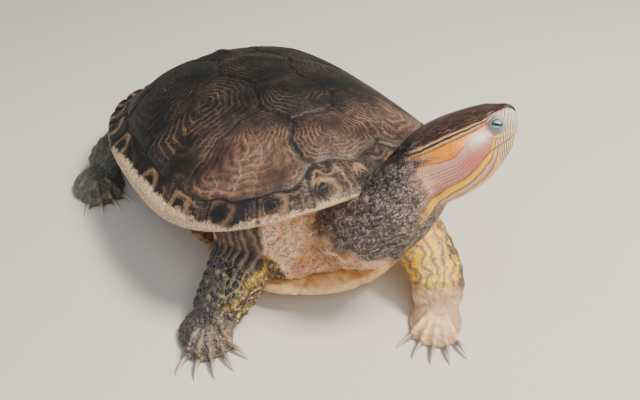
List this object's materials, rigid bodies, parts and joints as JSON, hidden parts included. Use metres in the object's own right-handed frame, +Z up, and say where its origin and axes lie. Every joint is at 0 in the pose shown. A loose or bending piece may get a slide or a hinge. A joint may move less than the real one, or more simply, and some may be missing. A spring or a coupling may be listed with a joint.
{
  "type": "slider turtle",
  "caption": "Life-size still model of an adult pond turtle resting on its plastron and feet, with its neck stretched up and its head turned to its left.",
  "frame": {"origin": "middle of the footprint's bounding box, on the floor that the feet and the back of the plastron rest on", "axes": "+X towards the front of the shell, +Y to the animal's left, +Z up"},
  "size_m": [0.3794, 0.2874, 0.1633],
  "materials": {
    "carapace": "dull horn scutes with growth rings and a pale algae crust on the rim",
    "plastron": "satin pale horn",
    "skin_dark": "granular dark grey-brown skin with yellow and orange stripes",
    "skin_pale": "wrinkled soft pinkish skin",
    "eye": "wet blue-green eye with a dark bar",
    "claw": "pale horn claws"
  },
  "bodies": {
    "root": {"carapace": "carapace", "plastron": "plastron", "trunk": "skin_pale", "neck": "skin_dark", "head": "skin_dark", "lower_jaw": "skin_dark", "eye_left": "eye", "eye_right": "eye", "tail": "skin_dark", "upper_arm_left": "skin_pale", "forearm_left": "skin_dark", "forefoot_left": "skin_dark", "thigh_left": "skin_dark", "shin_left": "skin_dark", "hindfoot_left": "skin_dark", "claw_forefoot_left_1": "claw", "claw_forefoot_left_2": "claw", "claw_forefoot_left_3": "claw", "claw_forefoot_left_4": "claw", "claw_forefoot_left_5": "claw", "claw_hindfoot_left_1": "claw", "claw_hindfoot_left_2": "claw", "claw_hindfoot_left_3": "claw", "claw_hindfoot_left_4": "claw", "upper_arm_right": "skin_pale", "forearm_right": "skin_dark", "forefoot_right": "skin_dark", "thigh_right": "skin_dark", "shin_right": "skin_dark", "hindfoot_right": "skin_dark", "claw_forefoot_right_1": "claw", "claw_forefoot_right_2": "claw", "claw_forefoot_right_3": "claw", "claw_forefoot_right_4": "claw", "claw_forefoot_right_5": "claw", "claw_hindfoot_right_1": "claw", "claw_hindfoot_right_2": "claw", "claw_hindfoot_right_3": "claw", "claw_hindfoot_right_4": "claw"}
  },
  "joints": []
}
